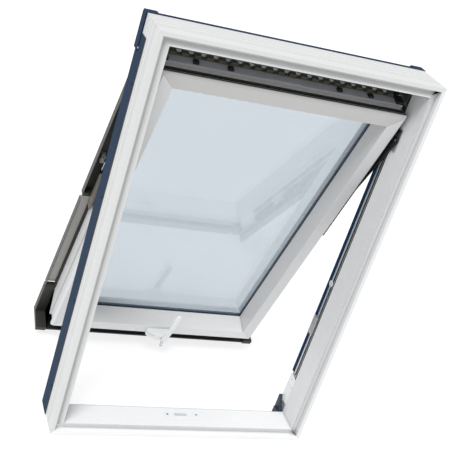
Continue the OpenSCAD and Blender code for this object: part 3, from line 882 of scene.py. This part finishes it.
@dataclass
class VentHead(Group):
    """The vent at the head of the sash: strip, comb, filter and small fittings."""

    edge_radius: float = 0.0004

    def trims(self) -> dict[str, Trim]:
        """Strip, comb, filter and fittings."""
        p, r = self.palette, self.edge_radius
        return {
            "sash_head_strip": Trim(p.strip_grey, "strip_grey", r),
            "vent_comb": Trim(p.comb_olive, "comb_olive", r),
            "vent_filter": Trim(p.filter_light, "filter_light", r),
            "head_fittings": Trim(p.fitting_black, "fitting_black", 0.0008),
        }


@dataclass(frozen=True)
class Station:
    """One cross-section of the lever: height above the spindle, centre and half sizes."""

    height: float
    across: float
    depth: float
    half_width: float
    half_depth: float


@dataclass
class LockSet(Group):
    """The handle's case, its lever and the soft pull loop under it."""

    case_radius: float = 0.0022
    section_points: int = 28
    loop_half_width: float = 0.003
    strap_radius: float = 0.001
    bend_steps: int = 8
    folded_share: float = 0.3
    stem_radius: float = 0.00585
    stem_depth: float = 0.021
    stem_centre: float = -0.0185
    lever_rounding: float = 0.0006
    lever_sharp_angle: float = math.radians(50)
    stations: tuple[Station, ...] = (
        Station(-0.0062, -0.0070, -0.0325, 0.0050, 0.0028),
        Station(-0.0054, -0.0070, -0.0327, 0.0078, 0.0040),
        Station(-0.0020, -0.0066, -0.0330, 0.0094, 0.0047),
        Station(0.0100, -0.0052, -0.0336, 0.0100, 0.0050),
        Station(0.0400, -0.0018, -0.0342, 0.0099, 0.0050),
        Station(0.0800, 0.0010, -0.0332, 0.0096, 0.0048),
        Station(0.1080, 0.0022, -0.0314, 0.0100, 0.0047),
        Station(0.1210, 0.0024, -0.0304, 0.0100, 0.0046),
        Station(0.1280, 0.0024, -0.0300, 0.0092, 0.0042),
        Station(0.1320, 0.0024, -0.0298, 0.0072, 0.0033),
        Station(0.1340, 0.0024, -0.0297, 0.0038, 0.0018),
    )

    def build(self) -> None:
        """Builds the case, the lever and the loop."""
        self.dresser.soften("lock_case", self.palette.white_fitting, "white_fitting",
                            self.case_radius, 4)
        self.build_lever()
        self.build_loop()

    def build_lever(self) -> None:
        """The lever: a rounded bar drawn out section by section, on its spindle."""
        shape = bmesh.new()
        bmesh.ops.create_circle(shape, cap_ends=True, cap_tris=False, segments=self.section_points,
                                radius=1.0)
        first = self.stations[0]
        self.place_section(shape, list(shape.verts), first)
        cap = list(shape.faces)
        for station in self.stations[1:]:
            grown = bmesh.ops.extrude_face_region(shape, geom=cap)
            bmesh.ops.delete(shape, geom=cap, context="FACES_ONLY")
            cap = [g for g in grown["geom"] if isinstance(g, bmesh.types.BMFace)]
            ring = [g for g in grown["geom"] if isinstance(g, bmesh.types.BMVert)]
            last = self.stations[self.stations.index(station) - 1]
            self.place_section(shape, ring, station, last)
        bottom = [v for v in shape.verts if abs(v.co.z - first.height) < 1e-7]
        bmesh.ops.contextual_create(shape, geom=bottom)
        stem = bmesh.ops.create_cone(shape, cap_ends=True, cap_tris=False, segments=32,
                                     radius1=self.stem_radius, radius2=self.stem_radius,
                                     depth=self.stem_depth)
        turn = (Matrix.Translation((0.0, self.stem_centre, 0.0))
                @ Matrix.Rotation(math.pi / 2, 4, "X"))
        bmesh.ops.transform(shape, matrix=turn, verts=stem["verts"])
        bmesh.ops.recalc_face_normals(shape, faces=shape.faces)
        bmesh.ops.transform(shape, matrix=sash_place(), verts=shape.verts)
        piece = self.dresser.finish_piece(shape, "lever_and_spindle", self.palette.white_fitting,
                                          "white_fitting", "handle", ["handle_lever"])
        rounding = piece.modifiers.new("rounded_edges", "BEVEL")
        rounding.width = self.lever_rounding
        rounding.segments = 2
        rounding.limit_method = "ANGLE"
        rounding.angle_limit = self.lever_sharp_angle
        rounding.harden_normals = True

    def place_section(self, shape: bmesh.types.BMesh, ring: list[bmesh.types.BMVert],
                      station: Station, last: Station | None = None) -> None:
        """Moves a ring of the bar to its station.

        Args:
            shape: The mesh the ring is in.
            ring: The ring's points.
            station: Where it goes and how big it is.
            last: The station it was drawn from, or None for a unit circle.
        """
        if last is None:
            bmesh.ops.scale(shape, vec=(station.half_width, station.half_depth, 1.0), verts=ring)
            bmesh.ops.translate(shape, vec=(station.across, station.depth, station.height),
                                verts=ring)
            return
        bmesh.ops.translate(shape, vec=(-last.across, -last.depth, -last.height), verts=ring)
        bmesh.ops.scale(shape, vec=(station.half_width / last.half_width,
                                    station.half_depth / last.half_depth, 1.0), verts=ring)
        bmesh.ops.translate(shape, vec=(station.across, station.depth, station.height), verts=ring)

    def build_loop(self) -> None:
        """The soft loop: a round strap bent into a hanging U, open above into the case."""
        low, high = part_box("pull_loop")
        middle = (low + high) / 2
        shape = bmesh.new()
        start = bmesh.ops.create_circle(shape, cap_ends=False, segments=12,
                                        radius=self.strap_radius)
        bmesh.ops.transform(shape, matrix=Matrix.Rotation(math.pi / 2, 4, "Y"),
                            verts=start["verts"])
        bmesh.ops.translate(shape, vec=(0.0, 0.0, -self.loop_half_width), verts=start["verts"])
        half = bmesh.ops.spin(shape, geom=list(shape.verts) + list(shape.edges),
                              cent=(0.0, 0.0, 0.0), axis=(0.0, 1.0, 0.0), angle=math.pi / 2,
                              steps=self.bend_steps, use_merge=False)
        end = [g for g in half["geom_last"] if isinstance(g, bmesh.types.BMEdge)]
        rise = high.z - low.z - self.loop_half_width - 2 * self.strap_radius
        up = bmesh.ops.extrude_edge_only(shape, edges=end)
        bmesh.ops.translate(shape, vec=(0.0, 0.0, rise),
                            verts=[g for g in up["geom"] if isinstance(g, bmesh.types.BMVert)])
        bmesh.ops.mirror(shape, geom=list(shape.verts) + list(shape.edges) + list(shape.faces),
                         matrix=Matrix.Identity(4), merge_dist=1e-5, axis="X")
        bmesh.ops.remove_doubles(shape, verts=shape.verts, dist=1e-6)
        bmesh.ops.holes_fill(shape, edges=[e for e in shape.edges if e.is_boundary], sides=0)
        bmesh.ops.recalc_face_normals(shape, faces=shape.faces)
        drop = low.z + self.loop_half_width + self.strap_radius
        bmesh.ops.translate(shape, vec=(middle.x, middle.y, drop), verts=shape.verts)
        piece = self.dresser.finish_piece(shape, "soft_pull_loop", self.palette.loop_blue,
                                          "loop_blue", "sash", ["pull_loop"])
        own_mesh(piece)


# ---------- stage ----------
@dataclass
class Studio:
    """The floor, the even sky, one soft key light and the camera."""

    camera_place: Triple = (-1.0279, -2.0062, 1.7404)
    look_at: Triple = (-0.0231, 0.0668, 0.6469)
    camera_roll: float = 18.644
    lens: float = 74.604
    sky_strength: float = 0.8
    key_strength: float = 2.5
    key_from: Triple = (-0.32, -0.42, 0.85)
    key_spread: float = 24.0
    floor_size: float = 14.0
    floor_drop: float = 0.0005
    floor_dark: Colour = (0.26, 0.26, 0.26)
    floor_light: Colour = (0.28, 0.28, 0.28)
    floor_glow: float = 0.76
    sensor_width: float = 36.0

    def build(self) -> None:
        """Builds the whole stage."""
        self.build_floor()
        self.build_world()
        self.build_key()
        self.build_camera()

    def build_floor(self) -> None:
        """A plain pale floor at the foot of the window."""
        shape = bmesh.new()
        bmesh.ops.create_grid(shape, x_segments=2, y_segments=2, size=self.floor_size)
        bmesh.ops.translate(shape, vec=(0.0, 0.0, CAD_BOX[0].z - self.floor_drop),
                            verts=shape.verts)
        mesh = bpy.data.meshes.new("floor")
        shape.to_mesh(mesh)
        shape.free()
        pen = NodePen("floor_paint")
        tone = pen.noise(pen.place, 3.0, 2.0)
        pen.join(pen.between(tone, self.floor_dark, self.floor_light),
                 pen.shader.inputs["Base Color"])
        pen.shader.inputs["Roughness"].default_value = 0.9
        pen.shader.inputs["Emission Color"].default_value = WHITE
        pen.shader.inputs["Emission Strength"].default_value = self.floor_glow
        mesh.materials.append(pen.material)
        floor = bpy.data.objects.new("floor", mesh)
        bpy.context.scene.collection.objects.link(floor)

    def build_world(self) -> None:
        """An even white sky that fills every shadow."""
        world = bpy.data.worlds.new("studio")
        world.use_nodes = True
        sky = world.node_tree.nodes["Background"]
        sky.inputs["Color"].default_value = WHITE
        sky.inputs["Strength"].default_value = self.sky_strength
        bpy.context.scene.world = world
        bpy.context.scene.view_settings.view_transform = "Standard"

    def build_key(self) -> None:
        """One wide soft key light from above, in front and a little to the left."""
        lamp = bpy.data.lights.new("soft_key", "SUN")
        lamp.energy = self.key_strength
        lamp.angle = math.radians(self.key_spread)
        holder = bpy.data.objects.new("soft_key", lamp)
        holder.rotation_euler = (-Vector(self.key_from)).to_track_quat("-Z", "Y").to_euler()
        bpy.context.scene.collection.objects.link(holder)

    def build_camera(self) -> None:
        """Sets the camera, leaned over by its roll."""
        lens = bpy.data.cameras.new("camera")
        lens.lens = self.lens
        lens.sensor_width = self.sensor_width
        camera = bpy.data.objects.new("camera", lens)
        aim = Vector(self.look_at) - Vector(self.camera_place)
        upright = aim.to_track_quat("-Z", "Y").to_matrix().to_4x4()
        lean = Matrix.Rotation(math.radians(self.camera_roll), 4, "Z")
        camera.matrix_world = Matrix.Translation(self.camera_place) @ upright @ lean
        bpy.context.scene.collection.objects.link(camera)
        bpy.context.scene.camera = camera


def main() -> None:
    """Builds every sub-assembly in order, then the stage."""
    logging.basicConfig(level=logging.INFO, format="%(message)s")
    dresser = Dresser(frame["nodes"])
    palette = Palette()
    for kind in (FrameBody, InnerRails, OuterCovers, RevealStrips, FrameFittings, LiftingArms,
                 SashBody, Glazing, RebateLining, SashCovers, VentHead, LockSet):
        LOG.info("building %s", kind.__name__)
        kind(dresser, palette).build()
    Studio().build()


if __name__ == "__main__":
    main()
